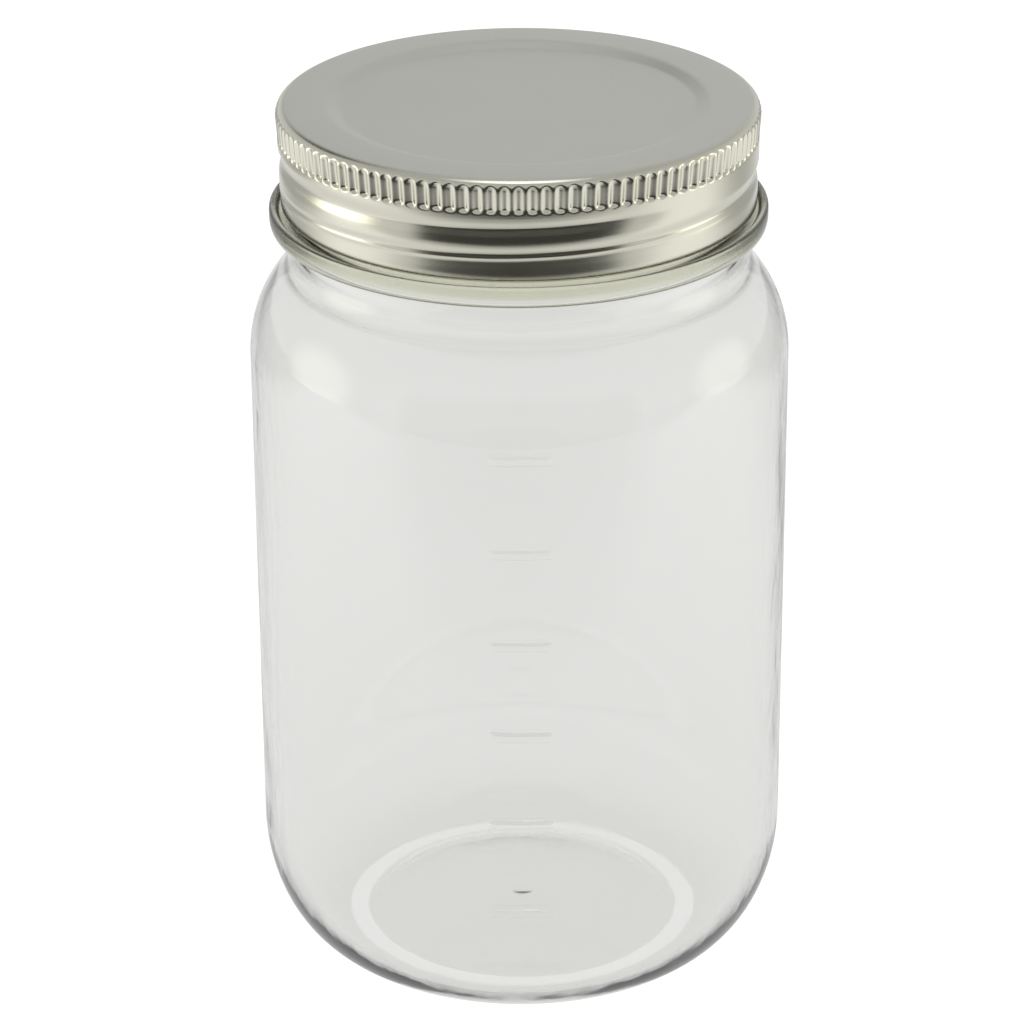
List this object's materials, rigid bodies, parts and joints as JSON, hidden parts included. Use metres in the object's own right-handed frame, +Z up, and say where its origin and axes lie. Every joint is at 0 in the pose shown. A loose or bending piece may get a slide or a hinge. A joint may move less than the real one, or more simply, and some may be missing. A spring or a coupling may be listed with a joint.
{
  "type": "screw-top jar",
  "caption": "Clear round plastic jar with a metal screw lid, rounded shoulder and heel, neck bead and raised measuring marks, for holding salon tools in disinfectant.",
  "frame": {"origin": "centre of the flat ring that the jar stands on", "axes": "+Z up along the jar's axis, -Y towards the side with the measuring marks"},
  "size_m": [0.082, 0.0823, 0.1376],
  "materials": {
    "clear_plastic": "clear, glossy, faint olive tint where it is thick",
    "satin_tinplate": "matte top, satin skirt",
    "sealing_compound": "soft off-white sealing compound"
  },
  "bodies": {
    "jar": {"jar_body": "clear_plastic"},
    "seal": {"sealing_ring": "sealing_compound"},
    "lid": {"lid_shell": "satin_tinplate"}
  },
  "joints": [
    {"name": "lid_rise", "type": "slide", "parent": "jar", "child": "seal", "axis": [0, 0, 1], "range_m": [0, 0.0212]},
    {"name": "lid_turn", "type": "hinge", "parent": "seal", "child": "lid", "pos_m": [0, 0, 0.12215], "axis": [0, 0, 1], "range_deg": [0, 1800]}
  ],
  "couplings": [
    {"joint": "lid_rise", "follows": "lid_turn", "m_per_rad": 0.0006737}
  ]
}
